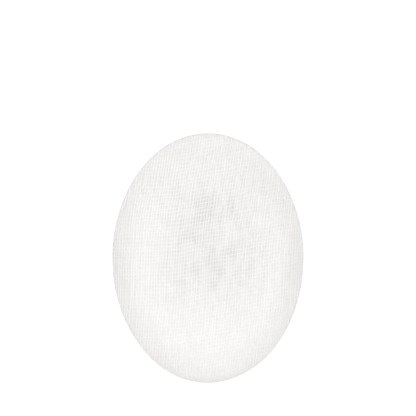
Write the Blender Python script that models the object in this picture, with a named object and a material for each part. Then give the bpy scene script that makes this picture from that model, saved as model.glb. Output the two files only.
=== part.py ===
"""An oval eye pad, lying on its back: a cotton fleece core between two layers of gauze.

The three layers are cut out in one stroke and pressed thin along the rim, so they share one oval outline.
Sizes are in metres. The origin is on the table under the middle of the pad, +Y is its long axis and +Z is up.
"""

import math

import bmesh
import bpy
from mathutils import Vector
from mathutils.geometry import delaunay_2d_cdt

# The oval, and the heights above the table
PAD_WIDTH = 0.057
PAD_LENGTH = 0.0744
PAD_HEIGHT = 0.008
SEAM_HEIGHT = 0.0024

# The fleece core: its pressed lip, and the border where its lower face rolls up from the table to that lip.
# A higher power gives the crown a flatter top, and the roll a sharper turn near the rim.
LIP_THICKNESS = 0.0005
CROWN_POWER = 6.0
BASE_ROLL_WIDTH = 0.011
BASE_ROLL_POWER = 2.4

# The gauze is two threads thick where they cross, and lies this far off the fleece
THREAD_THICKNESS = 0.0002
LAYER_GAP = 0.0003

# The weave: spacing across the threads, and how far they lean from the pad's own axes
WARP_PITCH = 0.00078
WEFT_PITCH = 0.00111
WARP_LEAN = math.radians(5)
WEFT_LEAN = math.radians(10)

# The weave is pressed flat along this border
PRESSED_BORDER = 0.004

# The front has crossing ridges with a dip in each mesh between them, this many times coarser than the threads
FRONT_COARSENING = 1.4

# The back has a rib for this many warp threads, with a flat crest that the pad lies on
WARPS_IN_RIB = 2
CREST_WIDTH = 0.0009

# The facets: points round the rim, rings of points inside it as (share of the way out, points), and spacings
RIM_POINTS = 80
SMOOTH_RINGS = ((0.50, 12), (0.72, 20), (0.88, 36))
RIM_MARGIN = 0.0004
RIB_STEP = 0.0035
SAME_POINT = 1e-9
SHARP_EDGE = math.radians(15)

# Bleached cotton, slightly warm
GAUZE_COLOUR = (0.90, 0.89, 0.87, 1.0)
FLEECE_COLOUR = (0.93, 0.92, 0.90, 1.0)
GAUZE_ROUGHNESS = 0.85
FLEECE_ROUGHNESS = 0.95

# What follows from the sizes above
GAUZE_THICKNESS = 2 * THREAD_THICKNESS
CORE_BOTTOM = GAUZE_THICKNESS + LAYER_GAP
CORE_TOP = PAD_HEIGHT - GAUZE_THICKNESS - LAYER_GAP
LIP_TOP = SEAM_HEIGHT + LIP_THICKNESS / 2
LIP_BOTTOM = SEAM_HEIGHT - LIP_THICKNESS / 2
WARP_RIDGE_PITCH = FRONT_COARSENING * WARP_PITCH
WEFT_RIDGE_PITCH = FRONT_COARSENING * WEFT_PITCH
RIB_PITCH = WARPS_IN_RIB * WARP_PITCH
REACH = math.hypot(PAD_WIDTH, PAD_LENGTH) / 2


def share_in_from_rim(width):
    """The share of the way out at which a border of that width starts, measured across the pad."""
    return 1 - 2 * width / PAD_WIDTH


def rim_share(p):
    """How far out a point lies: 0 in the middle and 1 on the rim."""
    return math.hypot(2 * p.x / PAD_WIDTH, 2 * p.y / PAD_LENGTH)


def on_oval(angle, share=1.0):
    """A point at that share of the way from the middle to the rim."""
    return Vector((share * math.cos(angle) * PAD_WIDTH / 2, share * math.sin(angle) * PAD_LENGTH / 2))


def fleece_top(p):
    """The core's crowned upper face, which rolls down to the pressed lip."""
    return LIP_TOP + (CORE_TOP - LIP_TOP) * (1 - rim_share(p) ** CROWN_POWER)


def fleece_bottom(p):
    """The core's lower face: flat in the middle, and rolled up to the lip round its border."""
    flat = share_in_from_rim(BASE_ROLL_WIDTH)
    rolled = max(0.0, (rim_share(p) - flat) / (1 - flat))
    return CORE_BOTTOM + (LIP_BOTTOM - CORE_BOTTOM) * rolled**BASE_ROLL_POWER


def front_inside(p):
    return fleece_top(p) + LAYER_GAP


def front_outside(p):
    return front_inside(p) + GAUZE_THICKNESS


def back_inside(p):
    return fleece_bottom(p) - LAYER_GAP


def back_outside(p):
    return back_inside(p) - GAUZE_THICKNESS


def weave_depth(p):
    """How far the gauze dips by one thread's thickness, which fades out where its border is pressed."""
    return THREAD_THICKNESS * min(1.0, (1 - rim_share(p)) / (1 - share_in_from_rim(PRESSED_BORDER)))


def smooth_face(height):
    """Points for a plain face: the middle, and rings that lie closer together towards the rim."""
    flat = [Vector((0.0, 0.0))]
    for share, count in SMOOTH_RINGS:
        flat += [on_oval(2 * math.pi * (k + 0.5) / count, share) for k in range(count)]
    return [(p.x, p.y, height(p)) for p in flat], []


def thread_directions():
    """Unit vectors along the warp, which runs up the pad, and along the weft, which runs across it."""
    warp = Vector((math.sin(WARP_LEAN), math.cos(WARP_LEAN)))
    weft = Vector((math.cos(WEFT_LEAN), math.sin(WEFT_LEAN)))
    return warp, weft


def woven_face(height):
    """A point where two ridges cross, joined to the next ones along the threads, and a dip in each mesh."""
    warp, weft = thread_directions()
    skew = math.cos(WARP_LEAN + WEFT_LEAN)
    across, along = weft * (WARP_RIDGE_PITCH / skew), warp * (WEFT_RIDGE_PITCH / skew)
    warps = math.ceil(REACH / WARP_RIDGE_PITCH)
    wefts = math.ceil(REACH / WEFT_RIDGE_PITCH)
    points, crossings = [], {}
    for i in range(-warps, warps + 1):
        for j in range(-wefts, wefts + 1):
            crossing = i * across + j * along
            if rim_share(crossing) < share_in_from_rim(RIM_MARGIN):
                crossings[i, j] = len(points)
                points.append((crossing.x, crossing.y, height(crossing)))
            dip = crossing + (across + along) / 2
            if rim_share(dip) < share_in_from_rim(RIM_MARGIN):
                points.append((dip.x, dip.y, height(dip) - weave_depth(dip)))
    edges = []
    for (i, j), n in crossings.items():
        edges += [(n, crossings[far]) for far in ((i + 1, j), (i, j + 1)) if far in crossings]
    return points, edges


def warp_line(offset, share):
    """The ends of the line along the warp at that offset, inside that share of the oval, or None."""
    warp, _ = thread_directions()
    foot = Vector((offset / math.cos(WARP_LEAN), 0.0))
    to_circle = Vector((2 / PAD_WIDTH, 2 / PAD_LENGTH)) / share
    a, b = foot * to_circle, warp * to_circle
    inside = a.dot(b) ** 2 - b.dot(b) * (a.dot(a) - 1)
    if inside <= 0:
        return None
    middle, half = -a.dot(b) / b.dot(b), math.sqrt(inside) / b.dot(b)
    return foot + warp * (middle - half), foot + warp * (middle + half)


def rib_points(offset):
    """Points along a rib: evenly spaced where the back curves, and none between where it lies flat."""
    ends = warp_line(offset, share_in_from_rim(RIM_MARGIN))
    if ends is None:
        return []
    flat = warp_line(offset, share_in_from_rim(BASE_ROLL_WIDTH))
    stretches = [ends] if flat is None else [(ends[0], flat[0]), (flat[1], ends[1])]
    points = []
    for start, end in stretches:
        steps = math.ceil((end - start).length / RIB_STEP)
        points += [start.lerp(end, n / steps) for n in range(steps + 1)]
    return points


def ribbed_face(height):
    """Ribs along the warp with flat crests, and one line along the bottom of each valley between them."""
    ribs = math.ceil(REACH / RIB_PITCH)
    points, edges = [], []
    for k in range(-ribs, ribs + 1):
        for step, depth in ((-CREST_WIDTH / 2, 0), (CREST_WIDTH / 2, 0), (RIB_PITCH / 2, 1)):
            along = rib_points(k * RIB_PITCH + step)
            edges += [(len(points) + n, len(points) + n + 1) for n in range(len(along) - 1)]
            points += [(p.x, p.y, height(p) + weave_depth(p) * depth) for p in along]
    return points, edges


def add_face(bm, rim, points, edges, upwards):
    """Adds one side of a layer: the given points joined to each other and to the rim's vertices."""
    flat = [v.co.xy for v in rim] + [Vector(p[:2]) for p in points]
    kept_edges = [(a + len(rim), b + len(rim)) for a, b in edges]
    outline = list(range(len(rim)))
    _, _, triangles, origins, _, _ = delaunay_2d_cdt(flat, kept_edges, [outline], 1, SAME_POINT)
    vertices = list(rim) + [bm.verts.new(p) for p in points]
    for triangle in triangles:
        corners = [vertices[origins[n][0]] for n in triangle]
        bm.faces.new(corners if upwards else corners[::-1])


def rim_at(bm, height):
    ring = [on_oval(2 * math.pi * k / RIM_POINTS) for k in range(RIM_POINTS)]
    return [bm.verts.new((p.x, p.y, height(p))) for p in ring]


def material(name, colour, roughness):
    made = bpy.data.materials.new(name)
    made.use_nodes = True
    shader = made.node_tree.nodes["Principled BSDF"]
    shader.inputs["Base Color"].default_value = colour
    shader.inputs["Roughness"].default_value = roughness
    shader.inputs["Metallic"].default_value = 0.0
    return made


def layer(name, upper, upper_face, lower, lower_face, finish, parent):
    """One layer as a closed solid between its two faces. Its own origin is level with its rim."""
    bm = bmesh.new()
    top_rim = rim_at(bm, upper)
    bottom_rim = rim_at(bm, lower)
    add_face(bm, top_rim, *upper_face(upper), upwards=True)
    add_face(bm, bottom_rim, *lower_face(lower), upwards=False)
    for k in range(RIM_POINTS):
        n = (k + 1) % RIM_POINTS
        bm.faces.new((bottom_rim[k], bottom_rim[n], top_rim[n], top_rim[k]))
    rim_height = lower(on_oval(0.0))
    bmesh.ops.translate(bm, verts=bm.verts, vec=(0.0, 0.0, -rim_height))
    mesh = bpy.data.meshes.new(name)
    bm.to_mesh(mesh)
    bm.free()
    mesh.shade_smooth()
    mesh.set_sharp_from_angle(angle=SHARP_EDGE)
    mesh.materials.append(finish)
    made = bpy.data.objects.new(name, mesh)
    made.location.z = rim_height
    made.parent = parent
    bpy.context.scene.collection.objects.link(made)


for old in list(bpy.data.objects):
    bpy.data.objects.remove(old, do_unlink=True)

pad = bpy.data.objects.new("eye_pad", None)
bpy.context.scene.collection.objects.link(pad)
gauze = material("bleached_gauze", GAUZE_COLOUR, GAUZE_ROUGHNESS)
fleece = material("cotton_fleece", FLEECE_COLOUR, FLEECE_ROUGHNESS)

layer("back_gauze", back_inside, smooth_face, back_outside, ribbed_face, gauze, pad)
layer("absorbent_core", fleece_top, smooth_face, fleece_bottom, smooth_face, fleece, pad)
layer("front_gauze", front_outside, woven_face, front_inside, smooth_face, gauze, pad)
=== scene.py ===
"""An oval eye pad as it lies on a white table: cotton fleece between two layers of woven gauze.

All sizes are in metres, in the frame of the part: the pad lies on z = 0, and +Y is its long axis.
"""

import math

import bmesh
import bpy
import numpy as np
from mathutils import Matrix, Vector, noise
from mathutils.bvhtree import BVHTree
from mathutils.geometry import delaunay_2d_cdt


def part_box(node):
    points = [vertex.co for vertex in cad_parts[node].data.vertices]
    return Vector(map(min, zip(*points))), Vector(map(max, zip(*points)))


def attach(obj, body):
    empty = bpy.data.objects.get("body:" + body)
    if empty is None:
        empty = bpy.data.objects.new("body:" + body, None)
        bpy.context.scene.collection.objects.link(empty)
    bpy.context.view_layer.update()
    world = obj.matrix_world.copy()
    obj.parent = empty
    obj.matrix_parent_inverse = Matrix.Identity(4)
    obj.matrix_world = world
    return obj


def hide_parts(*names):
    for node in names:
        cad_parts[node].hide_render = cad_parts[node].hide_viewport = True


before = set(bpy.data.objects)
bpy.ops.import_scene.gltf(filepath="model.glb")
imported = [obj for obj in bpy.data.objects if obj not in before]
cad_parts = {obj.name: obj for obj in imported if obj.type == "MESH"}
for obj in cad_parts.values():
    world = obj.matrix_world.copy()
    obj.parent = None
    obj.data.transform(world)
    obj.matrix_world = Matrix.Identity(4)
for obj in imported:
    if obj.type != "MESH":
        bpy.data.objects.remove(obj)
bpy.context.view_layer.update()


# The absorbent core: an oval cut from a sheet of carded, bleached cotton, thick and springy in the middle
# and pressed to a thin lip along its border. It is made as a closed lens, puffed by cloth simulation, and
# then given the clumps, tufts and thin places of real fleece.
core_low, core_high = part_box("absorbent_core")
HALF_WIDTH = core_high.x
HALF_LENGTH = core_high.y

# The lip, which waves a little, as soft goods do
LIP_HEIGHT = 0.0024
LIP_THICKNESS = 0.0005
LIP_WIDTH = 0.0005
LIP_WAVE = 0.0007
LIP_WAVE_SIZE = 0.015
LIP_WAVE_SLICE = 0

# The crown, which swells and sinks a little, and the underside, which rolls up to the lip. The frame's
# solids keep a gap between the core and the gauze over it, where the real ones touch, so the crown fills
# that gap.
CLOSED_GAP = 0.0003
CROWN_POWER = 5.0
SWELL_HEIGHT = 0.0005
SWELL_SIZE = 0.011
SWELL_SLICE = 1
BASE_ROLL_WIDTH = 0.011
BASE_ROLL_POWER = 2.4

# The mesh: how far apart its points are, how far the inner ones keep off the lip as a share of that, and
# the distance below which two points count as one
FLEECE_GRAIN = 0.0008
CLEAR_OF_LIP = 0.6
SAME_POINT = 1e-9

# The puffing, which moves no point further than PUFF_ROOM. It is simulated at PUFF_SCALE times the real
# size, as large as a cushion, where the solver behaves. The underside then lies REST_HEIGHT above the
# table, with the back gauze between them.
PUFF_ROOM = 0.0004
PUFF_SCALE = 8
PUFF_PRESSURE = 4.0
PUFF_MASS = 0.3
PUFF_QUALITY = 6
PUFF_FRAMES = 20
REST_HEIGHT = 0.00036


def rim_share(x, y):
    """How far out a point lies: 0 in the middle and 1 on the rim. It takes numbers or arrays."""
    return np.hypot(np.asarray(x) / HALF_WIDTH, np.asarray(y) / HALF_LENGTH)


def share_in_from_rim(width):
    """The share of the way out at which a border of that width starts, measured across the pad."""
    return 1 - width / HALF_WIDTH


def lip_face(x, y, side):
    """The height of the lip's upper face for side 1, of its lower face for -1, and of its middle for 0."""
    wave = LIP_WAVE * noise.noise(Vector((x, y, LIP_WAVE_SLICE)) / LIP_WAVE_SIZE)
    return LIP_HEIGHT + wave + side * LIP_THICKNESS / 2


def core_top(x, y):
    """The height of the crown before it is puffed."""
    out = np.clip(rim_share(x, y) / share_in_from_rim(LIP_WIDTH), 0, 1)
    swell = SWELL_HEIGHT * noise.noise(Vector((x, y, SWELL_SLICE)) / SWELL_SIZE)
    crown = core_high.z + CLOSED_GAP - PUFF_ROOM + swell
    return crown + (lip_face(x, y, 1) - crown) * out**CROWN_POWER


def core_bottom(x, y):
    """The height of the underside: flat in the middle, and rolled up to the lip round its border."""
    flat, lip = share_in_from_rim(BASE_ROLL_WIDTH), share_in_from_rim(LIP_WIDTH)
    rolled = np.clip((rim_share(x, y) - flat) / (lip - flat), 0, 1)
    return core_low.z + (lip_face(x, y, -1) - core_low.z) * rolled**BASE_ROLL_POWER


def oval_points(spacing):
    """Points along the rim and along the inner edge of its lip, and evenly spread points inside."""
    around = math.pi * (HALF_WIDTH + HALF_LENGTH)
    count = round(around / spacing)
    angles = 2 * math.pi * np.arange(count) / count
    rim = [Vector((HALF_WIDTH * math.cos(a), HALF_LENGTH * math.sin(a))) for a in angles]
    lip = [p * share_in_from_rim(LIP_WIDTH) for p in rim]
    row_step = spacing * math.sqrt(3) / 2
    rows = math.ceil(HALF_LENGTH / row_step)
    columns = math.ceil(HALF_WIDTH / spacing) + 1
    inside = []
    for row in range(-rows, rows + 1):
        for column in range(-columns, columns + 1):
            p = Vector(((column + 0.5 * (row % 2)) * spacing, row * row_step))
            if rim_share(p.x, p.y) < share_in_from_rim(LIP_WIDTH + CLEAR_OF_LIP * spacing):
                inside.append(p)
    return rim, lip, inside


def closed_lens(name, top, bottom, spacing):
    """A closed mesh between two height functions, with a wall along the oval rim."""
    rim, lip, inside = oval_points(spacing)
    flat = rim + lip + inside
    outline = list(range(len(rim)))
    _, _, triangles, origins, _, _ = delaunay_2d_cdt(flat, [], [outline], 1, SAME_POINT)
    triangles = [[origins[n][0] for n in triangle] for triangle in triangles]
    count = len(flat)
    places = [(p.x, p.y, float(top(p.x, p.y))) for p in flat]
    places += [(p.x, p.y, float(bottom(p.x, p.y))) for p in flat]
    faces = triangles + [[n + count for n in reversed(triangle)] for triangle in triangles]
    faces += [[n + count, (n + 1) % len(rim) + count, (n + 1) % len(rim), n] for n in outline]
    mesh = bpy.data.meshes.new(name)
    mesh.from_pydata(places, [], faces)
    made = bpy.data.objects.new(name, mesh)
    bpy.context.scene.collection.objects.link(made)
    pressed = range(len(rim) + len(lip))
    held = made.vertex_groups.new(name="held")
    held.add([*pressed, *(n + count for n in pressed)], 1.0, "REPLACE")
    return made


def places_of(mesh):
    """Where a mesh's points are, one row for each."""
    found = np.empty(len(mesh.vertices) * 3, np.float32)
    mesh.vertices.foreach_get("co", found)
    return found.reshape(-1, 3).astype(float)


def place(mesh, points):
    """Puts a mesh's points where the rows say."""
    mesh.vertices.foreach_set("co", np.asarray(points, np.float32).ravel())
    mesh.update()


def puff(piece, room):
    """Swells the piece by cloth simulation with its lip held. No point moves further than room."""
    start = places_of(piece.data)
    place(piece.data, start * PUFF_SCALE)
    cloth = piece.modifiers.new("puff", "CLOTH")
    cloth.settings.quality = PUFF_QUALITY
    cloth.settings.mass = PUFF_MASS
    cloth.settings.use_pressure = True
    cloth.settings.uniform_pressure_force = PUFF_PRESSURE
    cloth.settings.vertex_group_mass = "held"
    cloth.settings.effector_weights.gravity = 0
    cloth.collision_settings.use_collision = False
    cloth.point_cache.frame_start = 1
    cloth.point_cache.frame_end = PUFF_FRAMES
    for step in range(1, PUFF_FRAMES + 1):
        bpy.context.scene.frame_set(step)
    shaped = piece.evaluated_get(bpy.context.evaluated_depsgraph_get())
    moved = places_of(shaped.data) / PUFF_SCALE - start
    piece.modifiers.clear()
    bpy.context.scene.frame_set(1)
    length = np.linalg.norm(moved, axis=1, keepdims=True)
    place(piece.data, start + moved * np.minimum(1, room / np.maximum(length, SAME_POINT)))


def settle(mesh):
    """Flattens the underside where the gauze under it meets the table."""
    points = places_of(mesh)
    points[:, 2] = np.maximum(points[:, 2], REST_HEIGHT)
    place(mesh, points)


core = closed_lens("fleece_core", core_top, core_bottom, FLEECE_GRAIN)
puff(core, PUFF_ROOM)
settle(core.data)

# The two faces of the puffed fleece as height maps. They are made before the fleece gets its small hollows,
# so that the gauze laid over them bridges these as real gauze does. They are smoothed inside
# MAP_BLUR_REACH, a share of the oval. MAP_END keeps a point on a map's far edge just inside its last cell.
MAP_STEP = 0.0005
MAP_BLUR_STEPS = 3
MAP_BLUR_REACH = 0.97
MAP_END = 1.001
RAY_START = 0.05


def height_map(piece, side):
    """The piece's height seen from that side, 1 for above and -1 for below, on a grid of MAP_STEP."""
    bm = bmesh.new()
    bm.from_mesh(piece.data)
    tree = BVHTree.FromBMesh(bm)
    bm.free()
    across = np.arange(-HALF_WIDTH - MAP_STEP, HALF_WIDTH + 2 * MAP_STEP, MAP_STEP)
    along = np.arange(-HALF_LENGTH - MAP_STEP, HALF_LENGTH + 2 * MAP_STEP, MAP_STEP)
    heights = np.empty((len(across), len(along)))
    for i, x in enumerate(across):
        for j, y in enumerate(along):
            hit = tree.ray_cast((x, y, side * RAY_START), (0, 0, -side))[0]
            heights[i, j] = lip_face(x, y, side) if hit is None else hit.z
    inside = rim_share(across[:, None], along[None, :]) < MAP_BLUR_REACH
    for _ in range(MAP_BLUR_STEPS):
        padded = np.pad(heights, 1, mode="edge")
        near = (padded[:-2, 1:-1] + padded[2:, 1:-1] + padded[1:-1, :-2] + padded[1:-1, 2:]) / 4
        heights = np.where(inside, (heights + near) / 2, heights)
    return heights


def read_map(heights, x, y):
    """The height at each point, between the four grid points round it."""
    u = np.clip((x + HALF_WIDTH + MAP_STEP) / MAP_STEP, 0, heights.shape[0] - MAP_END)
    v = np.clip((y + HALF_LENGTH + MAP_STEP) / MAP_STEP, 0, heights.shape[1] - MAP_END)
    i, j = u.astype(int), v.astype(int)
    a, b = u - i, v - j
    low = heights[i, j] * (1 - a) + heights[i + 1, j] * a
    high = heights[i, j + 1] * (1 - a) + heights[i + 1, j + 1] * a
    return low * (1 - b) + high * b


front_map = height_map(core, 1)
back_map = height_map(core, -1)

# The lumps: clumps of fibres a few millimetres wide, and tufts about a millimetre wide. Both fade out
# towards the lip, over LUMP_FADE, a share of the way out.
CLUMP_SIZE = 0.0045
CLUMP_HEIGHT = 0.00010
TUFT_SIZE = 0.0011
TUFT_HEIGHT = 0.00004
LUMP_FADE = 0.1

# How thin the fleece is, from 0 to 1: a list of places up the pad, multiplied by one of places across it.
# This fades out towards the lip over THIN_FADE, and is uneven from clump to clump, and in wisps that are
# longer up the pad. The fleece lies lower where it is thin, and rises where it is full, below FULL_BELOW.
THIN_ALONG = (
    (-0.035, 0.0), (-0.024, 0.2), (-0.015, 0.45), (-0.004, 0.85), (0.012, 0.85), (0.022, 0.75), (0.028, 0.5),
    (0.035, 0.4),
)
THIN_ACROSS = (
    (-0.0285, 0.2), (-0.018, 0.4), (-0.008, 0.95), (0.004, 1.0), (0.013, 0.90), (0.021, 0.5), (0.0285, 0.35),
)
THIN_FADE = 0.12
THIN_DEPTH = 0.00012
THIN_UNEVEN = 0.30
FULL_BELOW = 0.5
FULL_RISE = 0.00005
WISP_SIZE = 0.0016
WISP_STRETCH = 2
WISP_UNEVEN = 0.70

# The small places where it is thinnest: across the pad, up the pad, and the radius
HOLLOWS = (
    (-0.0004, 0.0142, 0.0026),
    (-0.0014, 0.0164, 0.0022),
    (-0.0032, 0.0114, 0.0017),
    (-0.0045, 0.0064, 0.0017),
    (0.0067, 0.0152, 0.0012),
    (0.0068, 0.0018, 0.0012),
    (0.0012, 0.0026, 0.0012),
    (0.0014, -0.0006, 0.0016),
    (0.0031, -0.0036, 0.0016),
    (-0.0037, -0.0030, 0.0013),
    (0.0016, -0.0075, 0.0014),
    (-0.0080, -0.0070, 0.0013),
)
HOLLOW_DEPTH = 0.00025

# The fleece and the yarn get painted shade over a border towards the rim, most of all at the sides, and more
# so in the narrower border along the lip, most of all at the head and the foot
PAINTED_RIM_SHADE_WIDTH = 0.0080
RIM_SHADE_AT_SIDES = 0.52
RIM_SHADE_AT_HEAD = 0.05
RIM_SHADE_AT_FOOT = 0.28
PAINTED_LIP_SHADE_WIDTH = 0.0013
LIP_SHADE_AT_SIDES = 0.11
LIP_SHADE_AT_ENDS = 0.42
LIP_ENDS_POWER = 4

# How much greyer the thin places look, because light goes on into them, and how much painted shade the
# hollows get
FULL_FLEECE_COLOUR = "#FBFAF9"
GREY_AND_SHADED_FLEECE_COLOUR = "#E8E7E5"
THIN_GREYING = 0.75
HOLLOW_PAINTED_SHADE = 0.46

# Single fibres are 0.015 mm thick, and lie across each other in the web. They are drawn coarser than real,
# so that they show: as wisps about 0.1 mm wide and 1 mm long, turned both ways by these degrees.
FIBRE_SIZE = 0.00018
FIBRE_STRETCH = 9.0
FIBRE_HEIGHT = 0.0001
FIBRE_TURNS = (35, -25)


def thin_places(x, y):
    """How thin the fleece is at each point, from 0 to 1, and how much of a hollow there is."""
    thin = np.interp(y, *zip(*THIN_ALONG)) * np.interp(x, *zip(*THIN_ACROSS))
    thin = thin * np.clip((1 - rim_share(x, y)) / THIN_FADE, 0, 1)
    hollow = sum(np.exp(-((x - a) ** 2 + (y - b) ** 2) / r**2) for a, b, r in HOLLOWS)
    return thin, np.minimum(hollow, 1)


def painted_rim_shade(x, y):
    """How much painted shade the fleece and the yarn get at each point of the border and the lip."""
    inwards = (1 - rim_share(x, y)) * HALF_WIDTH
    endwards = np.abs(y) / HALF_LENGTH
    at_end = np.where(y > 0, RIM_SHADE_AT_HEAD, RIM_SHADE_AT_FOOT)
    border = RIM_SHADE_AT_SIDES + (at_end - RIM_SHADE_AT_SIDES) * endwards
    lip = LIP_SHADE_AT_SIDES + (LIP_SHADE_AT_ENDS - LIP_SHADE_AT_SIDES) * endwards**LIP_ENDS_POWER
    in_border = np.clip(1 - inwards / PAINTED_RIM_SHADE_WIDTH, 0, 1)
    in_lip = np.clip(1 - inwards / PAINTED_LIP_SHADE_WIDTH, 0, 1)
    return border * in_border + lip * in_lip


def roughen(mesh):
    """Gives the fleece its lumps and thin places, and stores its grey and painted shade at each point."""
    points = places_of(mesh)
    x, y, z = points.T
    clumps = np.array([noise.noise(Vector(p) / CLUMP_SIZE) for p in points])
    tufts = np.array([noise.noise(Vector(p) / TUFT_SIZE) for p in points])
    wisps = np.array([noise.noise(Vector((p[0], p[1] / WISP_STRETCH, p[2])) / WISP_SIZE) for p in points])
    thin, hollow = thin_places(x, y)
    thin = thin * (1 + THIN_UNEVEN * clumps + WISP_UNEVEN * wisps)
    free = np.clip((1 - rim_share(x, y)) / LUMP_FADE, 0, 1)
    lift = CLUMP_HEIGHT * clumps + TUFT_HEIGHT * tufts - THIN_DEPTH * thin - HOLLOW_DEPTH * hollow
    lift += FULL_RISE * np.clip(1 - thin / FULL_BELOW, 0, 1)
    lip_middle = np.array([lip_face(p[0], p[1], 0) for p in points])
    points[:, 2] = z + np.where(z > lip_middle, 1, -1) * free * lift
    place(mesh, points)
    grey = mesh.attributes.new("grey_and_painted_shade", "FLOAT", "POINT")
    # Greyer where thin, as light goes on into it, with painted shade in the hollows and along the rim
    grey_and_shade = THIN_GREYING * thin + HOLLOW_PAINTED_SHADE * hollow + painted_rim_shade(x, y)
    grey.data.foreach_set("value", np.clip(grey_and_shade, 0, 1).astype(np.float32))


def add_node(tree, kind, settings=None, inputs=None):
    """Adds a node. An input given a socket is linked to it, and any other input is set to the value."""
    made = tree.nodes.new(kind)
    for name, value in (settings or {}).items():
        setattr(made, name, value)
    for name, value in (inputs or {}).items():
        if isinstance(value, bpy.types.NodeSocket):
            tree.links.new(value, made.inputs[name])
        else:
            made.inputs[name].default_value = value
    return made


def linear(hex_colour):
    """An sRGB hex colour as linear red, green, blue and alpha."""
    parts = [int(hex_colour[n : n + 2], 16) / 255 for n in (1, 3, 5)]
    return (*(c / 12.92 if c <= 0.04045 else ((c + 0.055) / 1.055) ** 2.4 for c in parts), 1.0)


def bleached_cotton_fleece():
    """Carded and bleached cotton: matt and faintly warm, and greyer where it is thin.

    Its hollows, its rim and the gaps between its wisps of fibre carry painted shade. Its wisps of fibre
    break up the surface, and their loose ends give it a soft bloom.
    """
    made = bpy.data.materials.new("bleached_cotton_fleece")
    made.use_nodes = True
    tree = made.node_tree
    shader = tree.nodes["Principled BSDF"]
    shader.inputs["Roughness"].default_value = 0.95
    shader.inputs["Specular IOR Level"].default_value = 0.2
    shader.inputs["Sheen Weight"].default_value = 0.15
    shader.inputs["Sheen Roughness"].default_value = 0.6
    place_in_pad = add_node(tree, "ShaderNodeTexCoord").outputs["Object"]
    grey_and_painted_shade = add_node(tree, "ShaderNodeAttribute", {"attribute_name": "grey_and_painted_shade"})
    # Greyer where the fleece is thin, as light goes on into it, with painted shade in the hollows and along
    # the rim
    shade = add_node(
        tree, "ShaderNodeMix", {"data_type": "RGBA"},
        {"Factor": grey_and_painted_shade.outputs["Fac"], 6: linear(FULL_FLEECE_COLOUR), 7: linear(GREY_AND_SHADED_FLEECE_COLOUR)},
    )
    wisps = []
    for turn in FIBRE_TURNS:
        combed = add_node(
            tree, "ShaderNodeMapping", {"vector_type": "TEXTURE"},
            {
                "Vector": place_in_pad,
                "Rotation": (0.0, 0.0, math.radians(turn)),
                "Scale": (1.0, FIBRE_STRETCH, 1.0),
            },
        )
        strands = add_node(
            tree, "ShaderNodeTexNoise", None,
            {"Vector": combed.outputs["Vector"], "Scale": 1 / FIBRE_SIZE, "Detail": 2.0, "Distortion": 0.8},
        )
        wisps.append(strands.outputs["Fac"])
    fibres = add_node(
        tree, "ShaderNodeMath", {"operation": "MAXIMUM"}, {0: wisps[0], 1: wisps[1]},
    ).outputs[0]
    # Painted shade between the wisps: the colour darkens a little where their bump is low
    between = add_node(
        tree, "ShaderNodeMapRange", None,
        {"Value": fibres, "From Min": 0.5, "From Max": 0.62, "To Min": 0.94, "To Max": 1.0},
    )
    shaded = add_node(
        tree, "ShaderNodeMix", {"data_type": "RGBA", "blend_type": "MULTIPLY"},
        {"Factor": 1.0, 6: shade.outputs[2], 7: between.outputs["Result"]},
    )
    tree.links.new(shaded.outputs[2], shader.inputs["Base Color"])
    bump = add_node(
        tree, "ShaderNodeBump", None, {"Height": fibres, "Strength": 1.0, "Distance": FIBRE_HEIGHT},
    )
    tree.links.new(bump.outputs["Normal"], shader.inputs["Normal"])
    return made


finer = core.modifiers.new("finer", "SUBSURF")
finer.levels = 1
finer.render_levels = 1
core_mesh = bpy.data.meshes.new_from_object(core.evaluated_get(bpy.context.evaluated_depsgraph_get()))
core.modifiers.clear()
core.data = core_mesh
roughen(core.data)
core.data.shade_smooth()
core.data.materials.clear()
core.data.materials.append(bleached_cotton_fleece())
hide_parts("absorbent_core")
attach(core, "root")


# The gauze on the front and on the back: absorbent cotton gauze in plain weave, bleached. Every thread is
# drawn, over and under the ones it crosses. The warp runs up the pad, closer than the weft, and all of them
# end at the cut rim, where the layers are pressed together.
WARP_PITCH = 0.000777
WEFT_PITCH = 0.00111
WARP_WIDTH = 0.00031
WEFT_WIDTH = 0.00023
WARP_FLATNESS = 0.80
WEFT_FLATNESS = 0.60
THREAD_SIDES = 6

# The cloth was laid askew before the ovals were cut, and shifted as it was laid. The first list is places
# up the pad and how far the warp leans to the right there, and the second is places across it and how far
# the weft rises, in degrees. Both are read at LEAN_STEPS places and smoothed over LEAN_BLUR of these.
WARP_LEANS = (
    (-0.030, 6), (-0.022, 5.5), (-0.012, 4), (-0.004, 0.5), (0.004, 5), (0.009, 5.5), (0.016, 9), (0.030, 8),
)
WEFT_LEANS = ((-0.030, 2), (-0.012, 3), (-0.007, 11.5), (0.0, 10.3), (0.010, 9.3), (0.030, 9))
LEAN_REACH = 0.06
LEAN_STEPS = 481
LEAN_BLUR = 13

# How uneven it is: the spacing and the wandering of its threads as shares of a pitch, how far the cloth was
# pulled out of line, the slubs that make a thread thicker and thinner, and how far inside the rim it ends
SPACING_UNEVEN = 0.045
WANDER = 0.075
WANDER_PASSES = 6
PULL = 0.00016
PULL_SIZE = 0.0045
PULL_SLICES = (0.5, 5.5)
SLUB = 0.16
SLUB_PASSES = 5
THINNEST = 0.7
THICKEST = 1.4
CUT_UNEVEN = 0.004
FRONT_SEED = 7
BACK_SEED = 11

# How it lies on the fleece: its lift and its crimp, both of them less along the pressed border, where its
# threads are flatter too. The warp rides a little higher than the weft.
GAUZE_LIFT = 0.00006
LIP_LIFT = 0.00002
WARP_RISE = 0.00003
CRIMP = 0.00009
PRESSED_BORDER = 0.0035
PRESSED_CRIMP = 0.25
PRESSED_FLATNESS = 0.6

# How it is laid out: over an oblong LAYOUT_MARGIN times as large as the pad, because it leans. Where
# leaning threads cross is found in a few rounds. A thread that only clips the oval's edge is left out.
LAYOUT_MARGIN = 1.4
CROSSING_ROUNDS = 6
FEWEST_POINTS = 3

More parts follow.
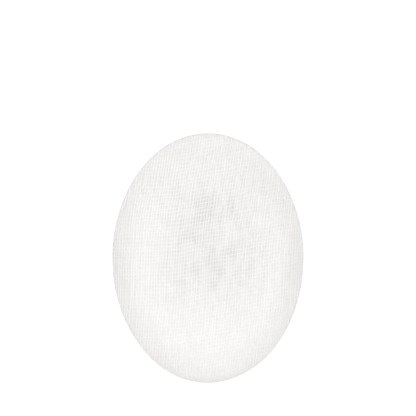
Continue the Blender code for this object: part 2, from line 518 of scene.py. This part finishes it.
# The yarn: its two whites, which change over patches of PATCH_SIZE, and the painted shade of its border.
# Threads over thin fleece look a little greyer too, because less light comes back up through them. The
# twist makes a full turn in TWIST_PITCH, and shows as TWIST_LINES slanting lines round the yarn.
YARN_COLOURS = ("#FEFDFC", "#FBFAF9")
GREY_AND_SHADED_YARN_COLOUR = "#E6E5E3"
PATCH_SIZE = 0.003
THREAD_GREYING = 0.16
TWIST_PITCH = 0.0009
TWIST_LINES = 6
TWIST_DEPTH = 0.00003


def smoothed_noise(random, shape, passes, axis):
    """Random numbers that change slowly along one axis, with a spread of about 1."""
    values = random.standard_normal(shape)
    for _ in range(passes):
        values = (np.roll(values, 1, axis) + 2 * values + np.roll(values, -1, axis)) / 4
    return values / values.std()


def drift(leans, at):
    """How far a thread has moved sideways at each place, when it leans as the list says."""
    places = np.linspace(-LEAN_REACH, LEAN_REACH, LEAN_STEPS)
    slopes = np.tan(np.radians(np.interp(places, *zip(*leans))))
    padded = np.pad(slopes, LEAN_BLUR // 2, mode="edge")
    slopes = np.convolve(padded, np.ones(LEAN_BLUR) / LEAN_BLUR, mode="valid")
    moved = np.cumsum(slopes) * (places[1] - places[0])
    return np.interp(at, places, moved - np.interp(0, places, moved))


def pulled(p):
    """How far the cloth was pulled out of line at that point, across the pad and up it."""
    u, v = p[0] / PULL_SIZE, p[1] / PULL_SIZE
    return [PULL * noise.noise(Vector((u, v, layer_slice))) for layer_slice in PULL_SLICES]


def weave_crossings(random, side):
    """Where each warp thread crosses each weft thread, with the unevenness of loosely woven gauze."""
    warps = math.ceil(LAYOUT_MARGIN * HALF_WIDTH / WARP_PITCH)
    wefts = math.ceil(LAYOUT_MARGIN * HALF_LENGTH / WEFT_PITCH)
    shape = (2 * warps + 1, 2 * wefts + 1)
    i = np.arange(-warps, warps + 1)[:, None] + np.zeros(shape)
    j = np.arange(-wefts, wefts + 1)[None, :] + np.zeros(shape)
    i = i + SPACING_UNEVEN * random.standard_normal((shape[0], 1))
    i = i + WANDER * smoothed_noise(random, shape, WANDER_PASSES, 1)
    j = j + SPACING_UNEVEN * random.standard_normal((1, shape[1]))
    j = j + WANDER * smoothed_noise(random, shape, WANDER_PASSES, 0)
    x, y = i * WARP_PITCH, j * WEFT_PITCH
    for _ in range(CROSSING_ROUNDS):
        x, y = i * WARP_PITCH + drift(WARP_LEANS, y), j * WEFT_PITCH + drift(WEFT_LEANS, x)
    flat = np.stack((x, y), axis=-1)
    flat += np.array([pulled(p) for p in flat.reshape(-1, 2)]).reshape(flat.shape)
    return flat * (side, 1)


def thread_line(crossings, over_first):
    """Plan points and crimp of one thread: one sample at each crossing, and one between each two."""
    between = (crossings[1:] + crossings[:-1]) / 2
    line = np.empty((2 * len(crossings) - 1, 2))
    line[0::2] = crossings
    line[1::2] = between
    crimp = np.zeros(len(line))
    crimp[0::2] = np.where((np.arange(len(crossings)) + over_first) % 2 == 0, 1.0, -1.0)
    return line, crimp


def cut_at_rim(line, crimp, end):
    """The part of a thread inside that share of the oval, cut off exactly there, or None."""
    share = rim_share(line[:, 0], line[:, 1])
    inside = np.flatnonzero(share < end)
    if len(inside) < FEWEST_POINTS:
        return None
    first, last = inside[0], inside[-1]
    if first == 0 or last == len(line) - 1:
        return None

    def cut(a, b):
        t = (end - share[a]) / (share[b] - share[a])
        return line[a] + (line[b] - line[a]) * t, crimp[a] + (crimp[b] - crimp[a]) * t

    start_point, start_crimp = cut(first, first - 1)
    end_point, end_crimp = cut(last, last + 1)
    points = np.vstack((start_point, line[first : last + 1], end_point))
    crimps = np.concatenate(([start_crimp], crimp[first : last + 1], [end_crimp]))
    return points, crimps


class Threads:
    """Collects tubes for threads, and makes one mesh of them with a UV map that runs along each thread."""

    def __init__(self):
        self.places, self.faces, self.uvs, self.count = [], [], [], 0

    def add(self, centres, up, half_width, half_height, twist):
        """Adds one thread: a closed tube along the centres, as wide and as high as given at each of them."""
        steps = len(centres)
        along = np.gradient(centres, axis=0)
        along /= np.linalg.norm(along, axis=1, keepdims=True)
        side = np.cross(along, up)
        side /= np.linalg.norm(side, axis=1, keepdims=True)
        rise = np.cross(side, along)
        turn = 2 * np.pi * np.arange(THREAD_SIDES) / THREAD_SIDES
        ring = centres[:, None, :] + (
            np.cos(turn)[None, :, None] * (half_width[:, None] * side)[:, None, :]
            + np.sin(turn)[None, :, None] * (half_height[:, None] * rise)[:, None, :]
        )
        run = np.concatenate(([0], np.cumsum(np.linalg.norm(np.diff(centres, axis=0), axis=1)))) + twist
        base = self.count
        self.places.append(ring.reshape(-1, 3))
        self.count += steps * THREAD_SIDES
        for s in range(steps - 1):
            for k in range(THREAD_SIDES):
                n = (k + 1) % THREAD_SIDES
                a, b = base + s * THREAD_SIDES, base + (s + 1) * THREAD_SIDES
                self.faces.append((a + k, a + n, b + n, b + k))
                u, v = k / THREAD_SIDES, (k + 1) / THREAD_SIDES
                self.uvs += [u, run[s], v, run[s], v, run[s + 1], u, run[s + 1]]
        last = base + (steps - 1) * THREAD_SIDES
        self.faces.append(tuple(base + k for k in reversed(range(THREAD_SIDES))))
        self.faces.append(tuple(last + k for k in range(THREAD_SIDES)))
        self.uvs += [0.5, run[0]] * THREAD_SIDES + [0.5, run[-1]] * THREAD_SIDES

    def made(self, name):
        """The mesh of all threads, which also stores their grey over thin fleece and their painted rim
        shade.
        """
        mesh = bpy.data.meshes.new(name)
        points = np.concatenate(self.places)
        mesh.from_pydata(points, [], self.faces)
        grey = mesh.attributes.new("grey_and_painted_shade", "FLOAT", "POINT")
        x, y = points[:, 0], points[:, 1]
        # Greyer over thin fleece, as less light comes back up through it, and painted shade along the rim
        grey_and_shade = THREAD_GREYING * thin_places(x, y)[0] ** 2 + painted_rim_shade(x, y)
        grey.data.foreach_set("value", np.clip(grey_and_shade, 0, 1).astype(np.float32))
        layer = mesh.uv_layers.new(name="along_thread")
        layer.data.foreach_set("uv", np.asarray(self.uvs, np.float32))
        mesh.shade_smooth()
        piece = bpy.data.objects.new(name, mesh)
        bpy.context.scene.collection.objects.link(piece)
        return piece


def lay_thread(threads, random, line, crimp, heights, side, width, flatness, rise):
    """Puts one thread on the fleece's face, with its crimp, its slubs and its pressed ends."""
    x, y = line[:, 0], line[:, 1]
    step = MAP_STEP
    slope_x = (read_map(heights, x + step, y) - read_map(heights, x - step, y)) / (2 * step)
    slope_y = (read_map(heights, x, y + step) - read_map(heights, x, y - step)) / (2 * step)
    up = side * np.stack((-slope_x, -slope_y, np.ones(len(x))), axis=1)
    up /= np.linalg.norm(up, axis=1, keepdims=True)
    inwards = (1 - rim_share(x, y)) * HALF_WIDTH
    free = np.clip(inwards / PRESSED_BORDER, 0, 1)
    free = free * free * (3 - 2 * free)
    crimped = CRIMP * crimp * (PRESSED_CRIMP + (1 - PRESSED_CRIMP) * free)
    lift = LIP_LIFT + (GAUZE_LIFT - LIP_LIFT) * free + rise + crimped
    centres = np.stack((x, y, read_map(heights, x, y)), axis=1) + up * lift[:, None]
    thickness = 1 + SLUB * smoothed_noise(random, len(x), SLUB_PASSES, 0)
    thickness = np.clip(thickness, THINNEST, THICKEST)
    flat = flatness * (PRESSED_FLATNESS + (1 - PRESSED_FLATNESS) * free)
    threads.add(centres, up, width / 2 * thickness, width / 2 * thickness * flat, random.uniform(0, 1))


def woven_layer(name, seed, heights, side):
    """One layer of gauze on one face of the fleece, as a single mesh of warp and weft threads."""
    random = np.random.default_rng(seed)
    crossings = weave_crossings(random, side)
    threads = Threads()
    rows, columns = crossings.shape[:2]
    for i in range(rows):
        line, crimp = thread_line(crossings[i], i % 2)
        found = cut_at_rim(line, crimp, 1 - random.uniform(0, CUT_UNEVEN))
        if found:
            lay_thread(threads, random, *found, heights, side, WARP_WIDTH, WARP_FLATNESS, WARP_RISE)
    for j in range(columns):
        line, crimp = thread_line(crossings[:, j], (j + 1) % 2)
        found = cut_at_rim(line, crimp, 1 - random.uniform(0, CUT_UNEVEN))
        if found:
            lay_thread(threads, random, *found, heights, side, WEFT_WIDTH, WEFT_FLATNESS, 0.0)
    return threads.made(name)


def bleached_gauze():
    """Bleached single yarn: matt, slightly warm white, with the slanting lines of its twist.

    Its loose fibres throw the light back the way it came, so its flanks look as bright as its crest.
    """
    made = bpy.data.materials.new("bleached_cotton_gauze")
    made.use_nodes = True
    tree = made.node_tree
    shader = tree.nodes["Principled BSDF"]
    shader.inputs["Roughness"].default_value = 0.85
    shader.inputs["Diffuse Roughness"].default_value = 1.0
    shader.inputs["Specular IOR Level"].default_value = 0.25
    shader.inputs["Sheen Weight"].default_value = 0.1
    shader.inputs["Sheen Roughness"].default_value = 0.5
    thread = add_node(tree, "ShaderNodeUVMap", {"uv_map": "along_thread"}).outputs["UV"]
    turned = add_node(
        tree, "ShaderNodeMapping", None, {"Vector": thread, "Scale": (1.0, 1 / TWIST_PITCH, 1.0)},
    )
    # The wave's own phase is ten times the sum of its coordinates, so this gives whole lines round the yarn.
    whole_lines = TWIST_LINES * 2 * math.pi / 10
    twist = add_node(
        tree, "ShaderNodeTexWave", {"bands_direction": "DIAGONAL"},
        {"Vector": turned.outputs["Vector"], "Scale": whole_lines, "Distortion": 2.5, "Detail": 3.0},
    )
    bump = add_node(
        tree, "ShaderNodeBump", None,
        {"Height": twist.outputs["Fac"], "Strength": 0.6, "Distance": TWIST_DEPTH},
    )
    tree.links.new(bump.outputs["Normal"], shader.inputs["Normal"])
    place_in_pad = add_node(tree, "ShaderNodeTexCoord").outputs["Object"]
    patches = add_node(
        tree, "ShaderNodeTexNoise", None,
        {"Vector": place_in_pad, "Scale": 1 / PATCH_SIZE, "Detail": 2.0},
    )
    shade = add_node(
        tree, "ShaderNodeMix", {"data_type": "RGBA"},
        {"Factor": patches.outputs["Fac"], 6: linear(YARN_COLOURS[0]), 7: linear(YARN_COLOURS[1])},
    )
    # Greyer over thin fleece, as less light comes back up through the yarn, with painted shade along the rim
    grey_and_painted_shade = add_node(tree, "ShaderNodeAttribute", {"attribute_name": "grey_and_painted_shade"})
    greyer = add_node(
        tree, "ShaderNodeMix", {"data_type": "RGBA"},
        {"Factor": grey_and_painted_shade.outputs["Fac"], 6: shade.outputs[2], 7: linear(GREY_AND_SHADED_YARN_COLOUR)},
    )
    # Painted shade in the twist's grooves: the colour darkens a little where its bump is low
    painted_groove_shade = add_node(
        tree, "ShaderNodeMapRange", None,
        {"Value": twist.outputs["Fac"], "From Max": 0.5, "To Min": 0.98, "To Max": 1.0},
    )
    shaded = add_node(
        tree, "ShaderNodeMix", {"data_type": "RGBA", "blend_type": "MULTIPLY"},
        {"Factor": 1.0, 6: greyer.outputs[2], 7: painted_groove_shade.outputs["Result"]},
    )
    tree.links.new(shaded.outputs[2], shader.inputs["Base Color"])
    return made


gauze_finish = bleached_gauze()
front = woven_layer("front_gauze_weave", FRONT_SEED, front_map, 1)
back = woven_layer("back_gauze_weave", BACK_SEED, back_map, -1)
for layer, node_name in ((front, "front_gauze"), (back, "back_gauze")):
    layer.data.materials.append(gauze_finish)
    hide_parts(node_name)
    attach(layer, "root")


# Where the pad lies: a table top of white laminate, flat and matt, that runs out of sight. It is white to
# the camera and a light grey to the pad, so that little light is thrown up at the pad's rim, and it keeps
# the shadow.
TABLE_SIZE = 1.2
TABLE_COLOUR_LIT = "#B0B0AE"
TABLE_COLOUR_SEEN = "#F4F4F4"
TABLE_GLOW_SEEN = 0.3

table_mesh = bpy.data.meshes.new("white_table")
corner = TABLE_SIZE / 2
table_mesh.from_pydata(
    [(-corner, -corner, 0), (corner, -corner, 0), (corner, corner, 0), (-corner, corner, 0)], [],
    [(0, 1, 2, 3)],
)
table = bpy.data.objects.new("white_table", table_mesh)
bpy.context.scene.collection.objects.link(table)


def seen_directly(tree):
    """1 for rays from the camera, by gloss or through glass, and 0 for the light that falls on things."""
    path = add_node(tree, "ShaderNodeLightPath")
    gloss = add_node(
        tree, "ShaderNodeMath", {"operation": "MAXIMUM"},
        {0: path.outputs["Is Glossy Ray"], 1: path.outputs["Is Transmission Ray"]},
    )
    return add_node(
        tree, "ShaderNodeMath", {"operation": "MAXIMUM"},
        {0: path.outputs["Is Camera Ray"], 1: gloss.outputs[0]},
    ).outputs[0]


def white_laminate():
    """A white laminate table top: plain and without gloss. To the camera it is the white of the page."""
    made = bpy.data.materials.new("white_laminate")
    made.use_nodes = True
    tree = made.node_tree
    shader = tree.nodes["Principled BSDF"]
    shader.inputs["Roughness"].default_value = 0.9
    shader.inputs["Specular IOR Level"].default_value = 0.0
    seen = seen_directly(tree)
    shade = add_node(
        tree, "ShaderNodeMix", {"data_type": "RGBA"},
        {"Factor": seen, 6: linear(TABLE_COLOUR_LIT), 7: linear(TABLE_COLOUR_SEEN)},
    )
    glow = add_node(tree, "ShaderNodeMath", {"operation": "MULTIPLY"}, {0: seen, 1: TABLE_GLOW_SEEN})
    shader.inputs["Emission Color"].default_value = (1.0, 1.0, 1.0, 1.0)
    tree.links.new(shade.outputs[2], shader.inputs["Base Color"])
    tree.links.new(glow.outputs[0], shader.inputs["Emission Strength"])
    return made


table_mesh.materials.append(white_laminate())


# The light: a round softbox over the pad, and the even light of a white room. The room is white to the
# camera, and gives less light than it shows. The softbox's level is the light that it gives a surface
# facing it, where 1 shows a colour as it is written.
ROOM_LIGHT = 0.395
SOFTBOX_HEIGHT = 1.15
SOFTBOX_SIZE = 0.60
SOFTBOX_LEVEL = 0.668

world = bpy.data.worlds.new("white_room")
world.use_nodes = True
bpy.context.scene.world = world
sky = world.node_tree.nodes["Background"]
sky.inputs["Color"].default_value = (1.0, 1.0, 1.0, 1.0)
room = add_node(
    world.node_tree, "ShaderNodeMix", {"data_type": "FLOAT"},
    {"Factor": seen_directly(world.node_tree), 2: ROOM_LIGHT, 3: 1.0},
)
world.node_tree.links.new(room.outputs[0], sky.inputs["Strength"])

softbox_light = bpy.data.lights.new("softbox", "AREA")
softbox_light.shape = "DISK"
softbox_light.size = SOFTBOX_SIZE
softbox_light.energy = SOFTBOX_LEVEL * math.pi**2 * SOFTBOX_HEIGHT**2
softbox = bpy.data.objects.new("softbox", softbox_light)
softbox.location.z = SOFTBOX_HEIGHT
bpy.context.scene.collection.objects.link(softbox)


# The camera: it looks straight down, as the pad was photographed, with the pad low in the frame. The pad's
# width in pixels sets how high the camera stands, and PAD_PIXEL is where the pad's middle shows.
FRAME_PIXELS = 416
PAD_WIDTH_IN_PIXELS = 190.9
PAD_PIXEL = (207.5, 257.6)
METRES_PER_PIXEL = 2 * HALF_WIDTH / PAD_WIDTH_IN_PIXELS
SENSOR = 0.036
LENS = 0.085
MILLIMETRES = 1000

camera_data = bpy.data.cameras.new("camera")
camera_data.sensor_width = SENSOR * MILLIMETRES
camera_data.lens = LENS * MILLIMETRES
camera_data.clip_start = 0.01
camera = bpy.data.objects.new("camera", camera_data)
middle = (FRAME_PIXELS - 1) / 2
camera.location = (
    (middle - PAD_PIXEL[0]) * METRES_PER_PIXEL,
    (PAD_PIXEL[1] - middle) * METRES_PER_PIXEL,
    LIP_HEIGHT + FRAME_PIXELS * METRES_PER_PIXEL * LENS / SENSOR,
)
bpy.context.scene.collection.objects.link(camera)
bpy.context.scene.camera = camera
bpy.context.scene.view_settings.view_transform = "Standard"
